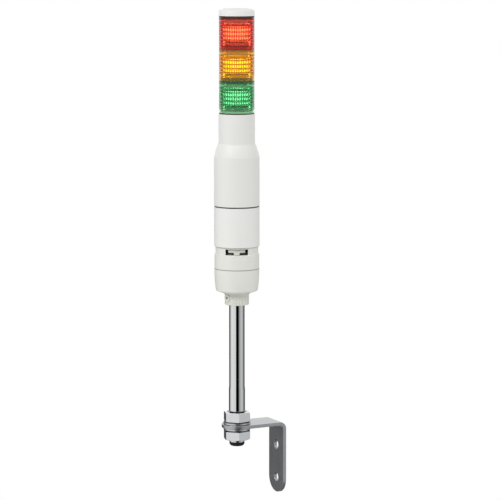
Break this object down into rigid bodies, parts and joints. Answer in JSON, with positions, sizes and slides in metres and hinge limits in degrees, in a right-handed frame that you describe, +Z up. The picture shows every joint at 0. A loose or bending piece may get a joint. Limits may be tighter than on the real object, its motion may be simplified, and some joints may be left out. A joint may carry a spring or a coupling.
{
  "type": "stack light",
  "caption": "Signal tower: red, amber and green lens globes on a round sounder case, on a tube pole clamped by nuts in a steel L bracket for a wall.",
  "frame": {"origin": "centre of the two wall bolts, on the face of the bracket that lies against the wall", "axes": "+Z up along the pole, +X from the pole to the wall"},
  "size_m": [0.0782, 0.05, 0.5421],
  "materials": {
    "case_plastic": "satin moulded, off-white",
    "lever_plastic": "satin moulded, light grey",
    "red_globe": "clear red with prism rings inside",
    "amber_globe": "clear amber with prism rings inside",
    "green_globe": "clear green with prism rings inside",
    "clear_plastic": "clear, faceted",
    "divider_plastic": "white reflector",
    "led_board": "white solder mask, yellow lamps",
    "circuit_board": "green solder mask",
    "buzzer_plastic": "black moulded",
    "gasket_rubber": "black, matt",
    "bush_rubber": "black, matt",
    "pole_chrome": "bright plated tube",
    "nut_steel": "bright zinc",
    "washer_steel": "bright zinc",
    "screw_steel": "zinc",
    "bracket_steel": "bright zinc on rolled plate"
  },
  "bodies": {
    "root": {"mounting_bracket": "bracket_steel", "pole": "pole_chrome", "upper_nut": "nut_steel", "lower_nut": "nut_steel", "upper_washer": "washer_steel", "lower_washer": "washer_steel", "end_bush": "bush_rubber", "pole_bracket": "case_plastic", "clamp_screw": "screw_steel", "sound_ring": "case_plastic", "buzzer": "buzzer_plastic", "case_screws": "screw_steel", "lower_case": "case_plastic", "case_o_ring": "gasket_rubber", "upper_case": "case_plastic", "control_board": "circuit_board", "base_gasket": "gasket_rubber", "lower_lens_gasket": "gasket_rubber", "upper_lens_gasket": "gasket_rubber", "cap_gasket": "gasket_rubber", "centre_rod": "screw_steel", "top_cap": "case_plastic", "green_lens": "green_globe", "amber_lens": "amber_globe", "red_lens": "red_globe", "green_lens_plates": "clear_plastic", "amber_lens_plates": "clear_plastic", "red_lens_plates": "clear_plastic", "green_led_boards": "led_board", "amber_led_boards": "led_board", "red_led_boards": "led_board", "base_divider": "divider_plastic", "lower_divider": "divider_plastic", "upper_divider": "divider_plastic"},
    "volume": {"volume_lever": "lever_plastic"}
  },
  "joints": [
    {"name": "volume_turn", "type": "hinge", "parent": "root", "child": "volume", "pos_m": [-0.0532, 0, 0.2381], "axis": [0, 0, 1], "range_deg": [-24, 24]}
  ]
}
